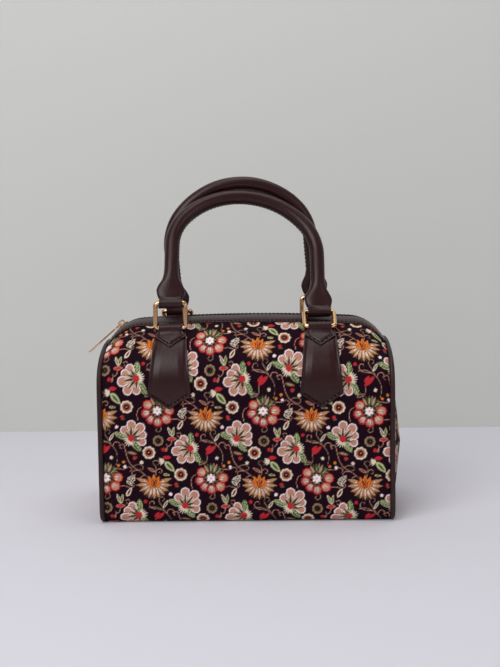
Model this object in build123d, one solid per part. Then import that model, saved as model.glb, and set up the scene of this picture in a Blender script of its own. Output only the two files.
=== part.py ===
from build123d import *
from math import asin, atan2, cos, degrees, radians, sin, sqrt, tan
import os

# Mini duffle bag: printed cloth body with leather piping, a zip along the crest, and two rolled
# leather handles on rectangular rings. Millimetres, +Z up, front towards -Y, origin on the
# floor under the middle of the body.

# Body
body_half_length = 130.0
body_half_depth = 67.0
crest_height = 185.5
crest_radius = 1800.0
corner_start = 99.0
corner_radius = 36.0
corner_slope = 50.0
shoulder_height_middle = 128.0
shoulder_height_end = 123.0
shoulder_share = 0.76
base_corner_radius = 9.0
cloth_thickness = 2.0
base_thickness = 2.4
station_places = (0.0, 50.0, 84.0, 99.0, 107.0, 115.0, 122.0, 127.0)
top_cut_height = 100.0

# Seams and trim
piping_radius = 2.3
seam_gap = 0.3
strip_width = 21.0
strip_rise = 1.0
strip_inner_edge = 7.0

# Zip
teeth_half_width = 2.4
teeth_overlap = 0.7
teeth_pitch = 3.4
tooth_length = 1.5
tooth_depth = 2.4
teeth_sink = 0.2
tape_sink = 0.9
tape_thickness = 1.0
teeth_end_margin = 3.0
bead_share = 0.3
slider_turn = 36.0
slider_length = 11.0
slider_width = 8.6
slider_plate = 1.4
slider_corner = 2.4
slider_clearance = 0.5
slider_lip_depth = 0.9
slider_lip_width = 1.2
slider_lip_margin = 2.5
bridge_height = 4.2
bridge_length = 6.4
bridge_width = 3.0
bridge_bar = 1.3
bridge_corner = 1.8
pull_length = 42.0
pull_width = 8.0
pull_thickness = 1.4
pull_neck_width = 5.0
pull_slope = 41.0
pull_clearance = 0.35
pull_eye_length = 5.0
pull_eye_rim = 1.5
pull_bar = 1.4
pull_blade_length = 14.0
pull_slot_length = 8.0
pull_slot_width = 2.6
pull_slot_edge = 2.5

# Handle rings and their tabs
ring_spacing = 137.4
ring_line_depth = 43.0
ring_standoff = 6.9
ring_wire = 4.4
ring_path_width = 27.6
ring_path_height = 23.0
ring_corner = 3.2
ring_bar_clearance = 0.3
leather_thickness = 1.7
tab_thickness = 2.2
tab_neck_width = 21.0
tab_flap_thickness = 1.4
tab_shoulder_width = 29.8
tab_foot_width = 39.2
tab_neck_end = 178.0
tab_neck_reach = 9.0
tab_inner_reach = 2.0
tab_shoulder_end = 166.5
tab_foot_height = 117.5
tab_point_height = 104.5
flap_corner_height = 168.5
flap_point_height = 160.0
flap_inset = 1.2
flap_neck_drop = 1.0
laid_ring_tilt = 58.0

# Handles
grip_radius = 6.9
handle_rise = 119.0
handle_leg = 61.0
handle_shoulder = 48.0
handle_loop_clearance = 1.1
handle_loop_width = 22.4
flare_start = 36.0
flare_sections = ((36.0, 6.9, 6.9), (25.0, 9.0, 5.8), (13.0, 13.8, 3.9), (3.2, 11.6, 4.4))
front_handle_lean = 28.0
rear_handle_lean = 0.0

# Strap rings at the ends
strap_ring_wire = 3.2
strap_ring_width = 24.0
strap_ring_drop = 17.0
strap_ring_corner = 3.0
strap_ring_height = 115.0
strap_tab_width = 17.0
strap_tab_top = 150.0
strap_ring_gap = 0.2


def crest(x):
    """Height of the crest line over a place along the length, with round, dropping corners."""
    place = abs(x)
    if place <= corner_start:
        return crest_height - crest_radius + sqrt(crest_radius**2 - place**2)
    centre_x, centre_z = corner_centre()
    arc_end = centre_x + corner_radius * sin(radians(corner_slope))
    if place <= arc_end:
        return centre_z + sqrt(corner_radius**2 - (place - centre_x) ** 2)
    arc_end_z = centre_z + corner_radius * cos(radians(corner_slope))
    return arc_end_z - (place - arc_end) * tan(radians(corner_slope))


def corner_centre():
    """Centre of the crest's corner arc, as place along the length and height."""
    start_angle = asin(corner_start / crest_radius)
    centre_x = corner_start - corner_radius * sin(start_angle)
    centre_z = crest_height - crest_radius + (crest_radius - corner_radius) * cos(start_angle)
    return centre_x, centre_z


def shoulder_height(x):
    """Height at which the upright walls start to turn in."""
    share = (abs(x) / body_half_length) ** 2
    return shoulder_height_middle + (shoulder_height_end - shoulder_height_middle) * share


def arch(half_width, rise, side_radius):
    """Three tangent arcs over a span: centre height and radius of the top arc, and its half angle."""
    side_centre = half_width - side_radius
    top_radius = (side_centre**2 + rise**2 - side_radius**2) / (2 * (rise - side_radius))
    top_centre = rise - top_radius
    return top_centre, top_radius, degrees(atan2(-top_centre, side_centre))


def section_wire(x, offset, floor):
    """Outline of the body across its length, moved outwards by an offset, standing on a floor."""
    half = body_half_depth + offset
    shoulder = shoulder_height(x)
    rise = crest(x) + offset - shoulder
    side = shoulder_share * (crest(x) - shoulder) + offset
    top_centre, top_radius, tangent = arch(half, rise, side)
    corner = base_corner_radius
    lines = [
        Line((-half + corner, floor), (half - corner, floor)),
        CenterArc((half - corner, floor + corner), corner, -90, 90),
        Line((half, floor + corner), (half, shoulder)),
        CenterArc((half - side, shoulder), side, 0, tangent),
        CenterArc((0, shoulder + top_centre), top_radius, tangent, 180 - 2 * tangent),
        CenterArc((-half + side, shoulder), side, 180 - tangent, tangent),
        Line((-half, shoulder), (-half, floor + corner)),
        CenterArc((-half + corner, floor + corner), corner, 180, 90),
    ]
    plane = Plane(origin=(x, 0, 0), x_dir=(0, 1, 0), z_dir=(1, 0, 0))
    return plane * Wire([line.edge() for line in lines])


def body_form(offset, floor, reach=0.0):
    """The closed form of the body at an offset from its outer surface."""
    places = list(station_places) + [body_half_length]
    stations = [-place for place in reversed(places) if place > 0] + places
    sections = []
    for x in stations:
        outline = section_wire(x, offset, floor)
        if abs(x) == body_half_length and reach:
            outline = Pos(reach if x > 0 else -reach, 0, 0) * outline
        sections.append(Face(outline))
    return loft(sections)


def slab(y_low, y_high, z_low=-1.0, z_high=300.0, x_half=400.0):
    """A block between two planes across the depth, for cutting panels from the body."""
    middle = Pos(0, (y_low + y_high) / 2, (z_low + z_high) / 2)
    return middle * Box(2 * x_half, y_high - y_low, z_high - z_low)


def top_surface(x, y):
    """Height of the body's outer surface on its top arc."""
    shoulder = shoulder_height(x)
    side = shoulder_share * (crest(x) - shoulder)
    top_centre, top_radius, tangent = arch(body_half_depth, crest(x) - shoulder, side)
    return shoulder + top_centre + sqrt(top_radius**2 - y**2)


def save(name, shape):
    """Write one sub-part."""
    shape.label = name
    export_step(shape, f"parts/{name}.step")


def half_turn(shape):
    """The same piece on the other side of the bag, turned half round the upright axis."""
    return Rot(0, 0, 180) * shape


def make_panels():
    """Cloth panels, the leather strips beside the zip and the zip tapes, cut from the body's wall."""
    outer = body_form(0, 0)
    inner = body_form(-cloth_thickness, cloth_thickness, reach=cloth_thickness)
    wall = outer - inner
    strip_edge = strip_inner_edge + strip_width
    side = body_half_depth - base_corner_radius
    front = wall & slab(-2 * body_half_depth, -strip_edge)
    front -= slab(-side, 0, -1, base_corner_radius + 1)
    save("front_panel", front.solid())
    save("rear_panel", half_turn(front).solid())
    base = Pos(0, 0, base_thickness / 2) * Box(2 * body_half_length, 2 * side, base_thickness)
    save("base_panel", base)
    raised = body_form(strip_rise, 0) - inner
    strip = raised & slab(-strip_edge, -strip_inner_edge, top_cut_height)
    save("front_top_strip", strip.solid())
    save("rear_top_strip", half_turn(strip).solid())
    under_tape = body_form(-tape_sink - tape_thickness, cloth_thickness, reach=cloth_thickness)
    tape = body_form(-tape_sink, 0) - under_tape
    tape &= slab(-strip_inner_edge, -teeth_half_width, top_cut_height)
    save("front_zip_tape", tape.solid())
    save("rear_zip_tape", half_turn(tape).solid())
    return outer


def piping_path(x):
    """Centre line of the piping round an end panel."""
    return section_wire(x, seam_gap, piping_radius)


def make_ends():
    """End panels and the piping loops round them."""
    place = body_half_length + piping_radius
    path = piping_path(place)
    start = path @ 0
    piping = sweep(Plane(origin=start, z_dir=path % 0) * Circle(piping_radius), path)
    panel_outline = section_wire(place, seam_gap - piping_radius, 2 * piping_radius)
    panel = extrude(Face(panel_outline), -cloth_thickness)
    for name, turn in (("right", 0), ("left", 180)):
        save(f"{name}_piping", Rot(0, 0, turn) * piping.solid())
        save(f"{name}_end_panel", Rot(0, 0, turn) * panel.solid())
    return place


def crest_frame(distance, lift):
    """A point at a distance along the crest from its middle, lifted off it, and the slope there."""
    side = 1 if distance >= 0 else -1
    length = abs(distance)
    start_angle = asin(corner_start / crest_radius)
    top_length = crest_radius * start_angle
    centre_x, centre_z = corner_centre()
    turn = radians(corner_slope)
    arc_length = corner_radius * (turn - start_angle)
    if length <= top_length:
        angle = length / crest_radius
        x = (crest_radius + lift) * sin(angle)
        z = crest_height - crest_radius + (crest_radius + lift) * cos(angle)
    elif length <= top_length + arc_length:
        angle = start_angle + (length - top_length) / corner_radius
        x = centre_x + (corner_radius + lift) * sin(angle)
        z = centre_z + (corner_radius + lift) * cos(angle)
    else:
        rest = length - top_length - arc_length
        x = centre_x + (corner_radius + lift) * sin(turn) + rest * cos(turn)
        z = centre_z + (corner_radius + lift) * cos(turn) - rest * sin(turn)
    return side * x, z


def crest_length():
    """Length of the crest line from its middle to the end of the walls."""
    turn = radians(corner_slope)
    start_angle = asin(corner_start / crest_radius)
    arc_end = corner_centre()[0] + corner_radius * sin(turn)
    slope_length = (body_half_length - arc_end) / cos(turn)
    return crest_radius * start_angle + corner_radius * (turn - start_angle) + slope_length


def teeth_row(phase):
    """One row of zip teeth on the beaded edge of its tape, with the teeth reaching past the middle."""
    half = crest_length() - teeth_end_margin
    top = -teeth_sink
    bottom = -teeth_sink - tooth_depth
    bead_top = -teeth_sink - tooth_depth * bead_share
    count = int(2 * half / teeth_pitch)
    bead = [crest_frame(-half + 2 * half * step / count, bead_top) for step in range(count + 1)]
    bead += [crest_frame(half - 2 * half * step / count, bottom) for step in range(count + 1)]
    bead_face = Face(Wire(Polyline(*[(x, z) for x, z in bead], close=True).edges()))
    inner = teeth_overlap
    row = extrude(Plane.XZ * bead_face, teeth_half_width - inner, dir=(0, 1, 0))
    row = Pos(0, inner, 0) * row
    teeth = []
    for step in range(count - 1):
        start = -half + (step + 0.5 + phase) * teeth_pitch
        corners = [
            crest_frame(start, bottom),
            crest_frame(start + tooth_length, bottom),
            crest_frame(start + tooth_length, top),
            crest_frame(start, top),
        ]
        face = Face(Wire(Polyline(*corners, close=True).edges()))
        tooth = extrude(Plane.XZ * face, teeth_half_width + inner, dir=(0, 1, 0))
        teeth.append(Pos(0, -inner, 0) * tooth)
    return row + teeth


def make_teeth():
    """Two rows of teeth that mesh along the middle of the crest."""
    save("rear_zip_teeth", teeth_row(0.0).solid())
    save("front_zip_teeth", (mirror(teeth_row(0.5), Plane.XZ)).solid())


def slider_place():
    """Frame of the slider on the left corner of the crest: X down the slope, Z out of the bag."""
    centre_x, centre_z = corner_centre()
    turn = radians(slider_turn)
    origin = (-centre_x - corner_radius * sin(turn), 0, centre_z + corner_radius * cos(turn))
    return Plane(origin=origin, x_dir=(-cos(turn), 0, -sin(turn)), z_dir=(-sin(turn), 0, cos(turn)))


def make_slider():
    """Slider that straddles the teeth, its bridge, and the pull that hangs from the bridge."""
    place = slider_place()
    low = slider_clearance
    half = slider_width / 2
    outline = RectangleRounded(slider_length, slider_width, slider_corner)
    plate = extrude(Pos(0, 0, low) * outline, slider_plate)
    lip = Pos(0, half - slider_lip_width / 2, low - slider_lip_depth / 2)
    lip_box = Box(slider_length - 2 * slider_lip_margin, slider_lip_width, slider_lip_depth)
    body = plate + lip * lip_box + Rot(0, 0, 180) * (lip * lip_box)
    top = low + slider_plate
    arch_outer = Rectangle(bridge_length, 2 * bridge_height)
    frame = Plane.XZ * fillet(arch_outer.vertices(), bridge_corner)
    inner_face = Plane.XZ * Rectangle(bridge_length - 2 * bridge_bar, 2 * (bridge_height - bridge_bar))
    bridge = extrude(frame, bridge_width / 2, both=True) - extrude(inner_face, bridge_width, both=True)
    bridge = Pos(0, 0, top) * bridge
    keep = 2 * bridge_height + slider_plate
    bridge = bridge & Pos(0, 0, low + keep / 2) * Box(slider_length, slider_width, keep)
    slider = place * (body + bridge)
    save("zip_slider", slider.solid())
    window = bridge_height - bridge_bar
    pivot = place * Pos(bridge_length / 2 - bridge_bar - pull_bar / 2 - pull_clearance, 0, top + window / 2)
    pivot_point = pivot.position
    pull = pull_solid()
    slope = radians(pull_slope)
    frame = Plane(origin=pivot_point, x_dir=(-cos(slope), 0, -sin(slope)), z_dir=(-sin(slope), 0, cos(slope)))
    save("zip_pull", (frame * pull).solid())
    return pivot_point


def pull_solid():
    """A flat pull: an eye whose end bar turns in the bridge, a tapering shaft and a slotted end."""
    eye_half = bridge_width / 2 + pull_clearance
    eye_side = eye_half + pull_eye_rim
    eye_end = pull_eye_length + pull_eye_rim
    neck = pull_neck_width / 2
    half = pull_width / 2
    tip = pull_length - pull_bar / 2
    blade = tip - pull_blade_length
    upper = [(-pull_bar / 2, eye_side), (eye_end, eye_side), (eye_end + pull_eye_rim, neck)]
    upper += [(blade, half), (tip, half)]
    points = upper + [(x, -y) for x, y in reversed(upper)]
    plate = extrude(Face(Wire(Polyline(*points, close=True).edges())), pull_thickness / 2, both=True)
    slot = Pos(tip - pull_slot_length / 2 - pull_slot_edge, 0, 0)
    plate -= slot * extrude(SlotOverall(pull_slot_length, pull_slot_width), pull_thickness, both=True)
    window = pull_eye_length - pull_bar / 2
    plate -= Pos(pull_bar / 2 + window / 2, 0, 0) * Box(window, 2 * eye_half, 3 * pull_thickness)
    return plate


def tab_prism(points, y_far):
    """An outline in the front view, as a block that reaches in from the front."""
    outline = points + [(-x, z) for x, z in reversed(points) if x != 0]
    face = Face(Wire(Polyline(*outline, close=True).edges()))
    placed = Plane(origin=(0, y_far, 0), x_dir=(1, 0, 0), z_dir=(0, -1, 0)) * face
    return extrude(placed, body_half_depth, dir=(0, -1, 0))


def make_tabs(outer):
    """Folded leather tabs that hold the handle rings, each following the front panel."""
    pivot_z = top_surface(ring_spacing / 2, ring_line_depth) + ring_standoff
    layer = body_form(tab_thickness, 0) - outer
    flap_layer = body_form(tab_thickness + tab_flap_thickness, 0) - outer
    far = -ring_line_depth + tab_inner_reach
    neck = tab_neck_width / 2
    neck_top = tab_neck_end + tab_neck_reach
    outline = [(0, tab_point_height), (tab_foot_width / 2, tab_foot_height)]
    outline += [(tab_shoulder_width / 2, tab_shoulder_end), (neck, tab_neck_end), (neck, neck_top)]
    flap = [(0, flap_point_height), (tab_shoulder_width / 2 - flap_inset, flap_corner_height)]
    flap += [(neck, tab_neck_end - flap_neck_drop), (neck, neck_top)]
    loop_radius = ring_wire / 2 + ring_bar_clearance + leather_thickness
    hole_radius = ring_wire / 2 + ring_bar_clearance
    for name, side in (("left", -1), ("right", 1)):
        place = Pos(side * ring_spacing / 2, 0, 0)
        bar_line = Pos(side * ring_spacing / 2, -ring_line_depth, pivot_z) * Rot(0, 90, 0)
        tab = (place * tab_prism(outline, far) & layer) + (place * tab_prism(flap, far) & flap_layer)
        tab += bar_line * Cylinder(loop_radius, tab_neck_width)
        tab -= bar_line * Cylinder(hole_radius, 2 * tab_neck_width)
        other = "right" if name == "left" else "left"
        save(f"front_{name}_handle_tab", tab.solid())
        save(f"rear_{other}_handle_tab", half_turn(tab).solid())
    return pivot_z


def ring_solid():
    """A rectangular wire ring that stands on the middle of its lower bar."""
    path = Pos(0, ring_path_height / 2) * RectangleRounded(ring_path_width, ring_path_height, ring_corner)
    wire = (Plane.XZ * path).wire()
    start = wire @ 0
    return sweep(Plane(origin=start, z_dir=wire % 0) * Circle(ring_wire / 2), wire)


def handle_solid(left_bar, right_bar, lean):
    """A rolled grip that flares into flat ends, each wrapped round the upper bar of a ring."""
    left = Vector(*left_bar)
    right = Vector(*right_bar)
    along = (right - left).normalized()
    half = (right - left).length / 2
    upright = (Vector(0, 0, 1) - along * along.Z).normalized()
    up = upright.rotate(Axis((0, 0, 0), tuple(along)), lean)
    place = Plane(origin=(left + right) * 0.5, x_dir=along, z_dir=along.cross(up))
    top_centre, top_radius, tangent = arch(half, handle_rise - handle_leg, handle_shoulder)
    side_centre = half - handle_shoulder
    lines = [
        Line((half, flare_start), (half, handle_leg)),
        CenterArc((side_centre, handle_leg), handle_shoulder, 0, tangent),
        CenterArc((0, handle_leg + top_centre), top_radius, tangent, 180 - 2 * tangent),
        CenterArc((-side_centre, handle_leg), handle_shoulder, 180 - tangent, tangent),
        Line((-half, handle_leg), (-half, flare_start)),
    ]
    path = Wire([line.edge() for line in lines])
    grip = sweep(Plane(origin=path @ 0, z_dir=path % 0) * Circle(grip_radius), path)
    handle = grip
    for side in (-1, 1):
        sections = []
        for height, wide, thick in flare_sections:
            cut = Plane(origin=(side * half, height, 0), x_dir=(1, 0, 0), z_dir=(0, 1, 0))
            sections.append(cut * Ellipse(wide, thick))
        handle += loft(sections)
    handle = place * handle
    loop_radius = ring_wire / 2 + handle_loop_clearance + leather_thickness
    hole_radius = ring_wire / 2 + handle_loop_clearance
    for bar in (left, right):
        bar_line = Pos(*bar) * Rot(0, 90, 0)
        handle += bar_line * Cylinder(loop_radius, handle_loop_width)
    for bar in (left, right):
        bar_line = Pos(*bar) * Rot(0, 90, 0)
        handle -= bar_line * Cylinder(hole_radius, 2 * handle_loop_width)
    return handle


def make_handles(pivot_z):
    """Front rings and handle; the rear set is the same pieces turned half round."""
    ring = ring_solid()
    upright_bar = (-ring_spacing / 2, -ring_line_depth, pivot_z + ring_path_height)
    tilt = radians(laid_ring_tilt)
    laid_y = -ring_line_depth + ring_path_height * sin(tilt)
    laid_bar = (ring_spacing / 2, laid_y, pivot_z + ring_path_height * cos(tilt))
    upright_ring = Pos(-ring_spacing / 2, -ring_line_depth, pivot_z) * ring
    laid_ring = Pos(ring_spacing / 2, -ring_line_depth, pivot_z) * Rot(-laid_ring_tilt, 0, 0) * ring
    save("front_left_ring", upright_ring.solid())
    save("front_right_ring", laid_ring.solid())
    save("rear_right_ring", half_turn(upright_ring).solid())
    save("rear_left_ring", half_turn(laid_ring).solid())
    save("front_handle", handle_solid(upright_bar, laid_bar, -front_handle_lean).solid())
    save("rear_handle", half_turn(handle_solid(upright_bar, laid_bar, -rear_handle_lean)).solid())


def make_strap_rings(end_place):
    """D-shaped rings for a shoulder strap, each in a folded tab on an end panel."""
    wire = strap_ring_wire / 2
    hole = wire + ring_bar_clearance
    loop = hole + leather_thickness
    axis_x = end_place + loop + strap_ring_gap
    half = strap_ring_width / 2
    corner = strap_ring_corner
    straight = strap_ring_drop - half
    lines = [
        Line((-half + corner, 0), (half - corner, 0)),
        CenterArc((half - corner, -corner), corner, 90, -90),
        Line((half, -corner), (half, -straight)),
        CenterArc((0, -straight), half, 0, -180),
        Line((-half, -straight), (-half, -corner)),
        CenterArc((-half + corner, -corner), corner, 180, -90),
    ]
    place = Plane(origin=(axis_x, 0, strap_ring_height), x_dir=(0, 1, 0), z_dir=(1, 0, 0))
    path = place * Wire([line.edge() for line in lines])
    ring = sweep(Plane(origin=path @ 0, z_dir=path % 0) * Circle(wire), path)
    bar_line = Pos(axis_x, 0, strap_ring_height) * Rot(90, 0, 0)
    rise = strap_tab_top - strap_ring_height
    tab = Pos(end_place + tab_thickness / 2, 0, strap_ring_height + rise / 2)
    tab = tab * Box(tab_thickness, strap_tab_width, rise)
    tab += bar_line * Cylinder(loop, strap_tab_width)
    room = 2 * strap_tab_top
    tab &= Pos(end_place + room / 2, 0, strap_ring_height) * Box(room, room, room)
    tab -= bar_line * Cylinder(hole, 2 * strap_tab_width)
    for name, turn in (("right", 0), ("left", 180)):
        save(f"{name}_strap_ring", Rot(0, 0, turn) * ring.solid())
        save(f"{name}_strap_tab", Rot(0, 0, turn) * tab.solid())


os.makedirs("parts", exist_ok=True)
outer_form = make_panels()
end_place = make_ends()
make_teeth()
pull_pivot = make_slider()
pivot_height = make_tabs(outer_form)
make_handles(pivot_height)
make_strap_rings(end_place)
print("pull pivot", pull_pivot, "ring pivot height", pivot_height)
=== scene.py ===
# %% [markdown]
# A mini duffle bag: a printed cloth body on leather piping, a zip along the crest and two rolled
# handles on metal rings. The CAD frame is loaded first and gives every size and place. Each cell
# after that dresses one part of the bag.

# %% The frame
import math
import bpy
import numpy as np
from mathutils import Matrix, Vector


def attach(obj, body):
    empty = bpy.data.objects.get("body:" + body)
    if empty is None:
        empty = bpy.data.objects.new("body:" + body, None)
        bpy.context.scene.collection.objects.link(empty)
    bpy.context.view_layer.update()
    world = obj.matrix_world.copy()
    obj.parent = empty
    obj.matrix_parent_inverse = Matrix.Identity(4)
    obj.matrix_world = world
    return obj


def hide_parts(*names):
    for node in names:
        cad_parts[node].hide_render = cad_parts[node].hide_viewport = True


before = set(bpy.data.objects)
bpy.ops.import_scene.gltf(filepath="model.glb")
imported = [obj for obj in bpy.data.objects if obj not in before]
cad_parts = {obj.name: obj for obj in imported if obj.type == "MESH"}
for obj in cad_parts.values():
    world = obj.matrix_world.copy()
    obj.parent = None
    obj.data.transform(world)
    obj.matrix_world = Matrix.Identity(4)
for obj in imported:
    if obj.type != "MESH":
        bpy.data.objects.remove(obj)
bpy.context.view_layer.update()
MM = 0.001

# %% [markdown]
# The bag's body is one smooth form: upright walls, a rounded shoulder and a gently arched crest
# whose ends turn down. The same few numbers as in the CAD describe it, so that cloth and leather
# can be laid on it exactly.

# %% The body's form
HALF_LENGTH = 130.0
HALF_DEPTH = 67.0
CREST = 185.5
CREST_RADIUS = 1800.0
CORNER_START = 99.0
CORNER_RADIUS = 36.0
CORNER_CENTRE = (97.02, 146.83)
CORNER_SLOPE = math.radians(50.0)
SHOULDER_MIDDLE = 128.0
SHOULDER_END = 123.0
SHOULDER_SHARE = 0.76
BASE_CORNER = 9.0


def crest_at(x):
    """Height of the crest line over places along the bag."""
    place = np.abs(x)
    top = CREST - CREST_RADIUS + np.sqrt(CREST_RADIUS**2 - np.minimum(place, CORNER_START) ** 2)
    arc_end = CORNER_CENTRE[0] + CORNER_RADIUS * math.sin(CORNER_SLOPE)
    on_arc = np.clip(place, CORNER_START, arc_end) - CORNER_CENTRE[0]
    arc = CORNER_CENTRE[1] + np.sqrt(CORNER_RADIUS**2 - on_arc**2)
    arc_foot = CORNER_CENTRE[1] + CORNER_RADIUS * math.cos(CORNER_SLOPE)
    slope = arc_foot - (place - arc_end) * math.tan(CORNER_SLOPE)
    return np.where(place <= CORNER_START, top, np.where(place <= arc_end, arc, slope))


def section_at(x, offset=0.0):
    """The parts of one cross section: half depth, shoulder, side radius, top arc."""
    shoulder = SHOULDER_MIDDLE + (SHOULDER_END - SHOULDER_MIDDLE) * (abs(x) / HALF_LENGTH) ** 2
    crest = float(crest_at(np.array(x)))
    half = HALF_DEPTH + offset
    rise = crest + offset - shoulder
    side = SHOULDER_SHARE * (crest - shoulder) + offset
    centre = half - side
    radius = (centre**2 + rise**2 - side**2) / (2 * (rise - side))
    top = rise - radius
    return half, shoulder, side, centre, radius, top, math.atan2(-top, centre)


def section_line(x, offset=0.0, ground=0.0):
    """Points (y, z) of one cross section from the floor round the front wall to the crest."""
    half, shoulder, side, centre, radius, top, tangent = section_at(x, offset)
    corner = BASE_CORNER
    a = np.linspace(-math.pi / 2, 0, 20)
    floor = [(half - corner + corner * math.cos(t), ground + corner + corner * math.sin(t)) for t in a]
    wall = [(half, z) for z in np.linspace(ground + corner, shoulder, 60)[1:]]
    b = np.linspace(0, tangent, 80)[1:]
    arc = [(centre + side * math.cos(t), shoulder + side * math.sin(t)) for t in b]
    c = np.linspace(tangent, math.pi / 2, 120)[1:]
    crown = [(radius * math.cos(t), shoulder + top + radius * math.sin(t)) for t in c]
    return np.array([(-y, z) for y, z in floor + wall + arc + crown])


# %% [markdown]
# Colours are written as sRGB hex values, as read off a colour chart, and turned to linear light
# once. A small helper adds a shader node with its settings and its links.

# %% Colour and node helpers
def linear(text):
    """A hex colour as linear RGBA."""
    values = [int(text[i:i + 2], 16) / 255 for i in (0, 2, 4)]
    return tuple(v / 12.92 if v <= 0.04045 else ((v + 0.055) / 1.055) ** 2.4 for v in values) + (1.0,)


def add_node(material, kind, settings=None, **inputs):
    """One node in a material: attribute settings, then socket values or links by socket name."""
    node = material.node_tree.nodes.new(kind)
    for name, value in (settings or {}).items():
        setattr(node, name, value)
    for name, value in inputs.items():
        socket = node.inputs[name.replace("_", " ")]
        if isinstance(value, bpy.types.NodeSocket):
            material.node_tree.links.new(value, socket)
        else:
            socket.default_value = value
    return node


def new_material(name):
    """An empty material with its surface shader."""
    material = bpy.data.materials.new(name)
    material.use_nodes = True
    return material, material.node_tree.nodes["Principled BSDF"]


def plug(material, output, socket):
    material.node_tree.links.new(output, socket)


# %% [markdown]
# Smooth chocolate leather: a soft sheen with broad highlights over a fine pebbled grain about a
# millimetre across, and a slight change of tone from patch to patch.

# %% Leather
def make_leather(name, colour, tone, roughness):
    material, shader = new_material(name)
    place = add_node(material, "ShaderNodeTexCoord").outputs["Object"]
    patches = add_node(material, "ShaderNodeTexNoise", Vector=place, Scale=38.0, Detail=3.0)
    mix = add_node(material, "ShaderNodeMix", {"data_type": "RGBA"}, Factor=patches.outputs["Fac"])
    mix.inputs[6].default_value = linear(colour)
    mix.inputs[7].default_value = linear(tone)
    plug(material, mix.outputs[2], shader.inputs["Base Color"])
    grain = add_node(material, "ShaderNodeTexVoronoi", Vector=place, Scale=1100.0)
    wrinkle = add_node(material, "ShaderNodeTexNoise", Vector=place, Scale=160.0, Detail=4.0)
    both = add_node(material, "ShaderNodeMath", {"operation": "MULTIPLY_ADD"})
    plug(material, wrinkle.outputs["Fac"], both.inputs[0])
    both.inputs[1].default_value = 1.6
    plug(material, grain.outputs["Distance"], both.inputs[2])
    bump = add_node(material, "ShaderNodeBump", Strength=0.35, Distance=0.0002, Height=both.outputs[0])
    plug(material, bump.outputs[0], shader.inputs["Normal"])
    shader.inputs["Roughness"].default_value = roughness
    shader.inputs["Specular IOR Level"].default_value = 0.30
    return material


leather = make_leather("smooth chocolate leather", "351315", "230b0d", 0.31)
piping_leather = make_leather("piping leather", "331a1b", "2a1314", 0.46)

# %% [markdown]
# The fittings are zinc castings plated light gold and polished.

# %% Plated metal
gold, shader = new_material("light gold plating")
place = add_node(gold, "ShaderNodeTexCoord").outputs["Object"]
haze = add_node(gold, "ShaderNodeTexNoise", Vector=place, Scale=300.0, Detail=2.0)
spread = add_node(gold, "ShaderNodeMapRange", Value=haze.outputs["Fac"])
spread.inputs["To Min"].default_value = 0.16
spread.inputs["To Max"].default_value = 0.26
plug(gold, spread.outputs[0], shader.inputs["Roughness"])
shader.inputs["Base Color"].default_value = linear("e9ba8a")
shader.inputs["Metallic"].default_value = 1.0

# %% [markdown]
# The zip's tape is dense woven polyester.

# %% Zip tape
tape_cloth, shader = new_material("woven zip tape")
place = add_node(tape_cloth, "ShaderNodeTexCoord").outputs["Object"]
ribs = add_node(tape_cloth, "ShaderNodeTexWave", {"bands_direction": "X"}, Vector=place, Scale=420.0)
bump = add_node(tape_cloth, "ShaderNodeBump", Strength=0.5, Distance=0.0003, Height=ribs.outputs["Fac"])
plug(tape_cloth, bump.outputs[0], shader.inputs["Normal"])
shader.inputs["Base Color"].default_value = linear("1c0f12")
shader.inputs["Roughness"].default_value = 0.85


def give(names, material):
    """Give CAD nodes their finish."""
    for name in names:
        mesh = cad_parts[name].data
        mesh.materials.clear()
        mesh.materials.append(material)


RINGS = [f"{side}_{end}_ring" for side in ("front", "rear") for end in ("left", "right")]
TABS = [f"{side}_{end}_handle_tab" for side in ("front", "rear") for end in ("left", "right")]
give(RINGS + ["left_strap_ring", "right_strap_ring", "zip_slider", "zip_pull", "front_zip_teeth",
              "rear_zip_teeth"], gold)
give(["front_zip_tape", "rear_zip_tape"], tape_cloth)
give(["left_piping", "right_piping"], piping_leather)
give(TABS + ["front_handle", "rear_handle", "left_strap_tab", "right_strap_tab", "front_top_strip",
             "rear_top_strip"], leather)

# %% [markdown]
# The print is a traditional all-over floral in half-drop rows: scalloped round flowers, pointed
# lotus flowers, fan flowers with pale edges, small florets, and thin curling stems between them.
# Each motif is drawn here from discs, petals and leaves, in millimetres, and the cloth takes its
# colour at every point of its mesh.

# %% The print
REPEAT = 95.8
ROW = 61.7


def ink(text):
    return np.array([int(text[i:i + 2], 16) / 255 for i in (0, 2, 4)])


GROUND = ink("1b0412")
BEIGE = ink("bd8873")
ROSEBEIGE = ink("b88778")
LOTUS = ink("bd8a64")
CREAM = ink("e6d6c0")
BLUSH = ink("fbe6e6")
RED = ink("c02b33")
DARKRED = ink("6a1016")
MAROON = ink("4a0f14")
TERRA = ink("a96a4f")
ORANGE = ink("d98334")
OLIVE = ink("574a30")
DARKOLIVE = ink("2c2416")
GREEN = ink("47613a")
PALE = ink("bfc08c")
TAUPE = ink("9a7d63")


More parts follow.
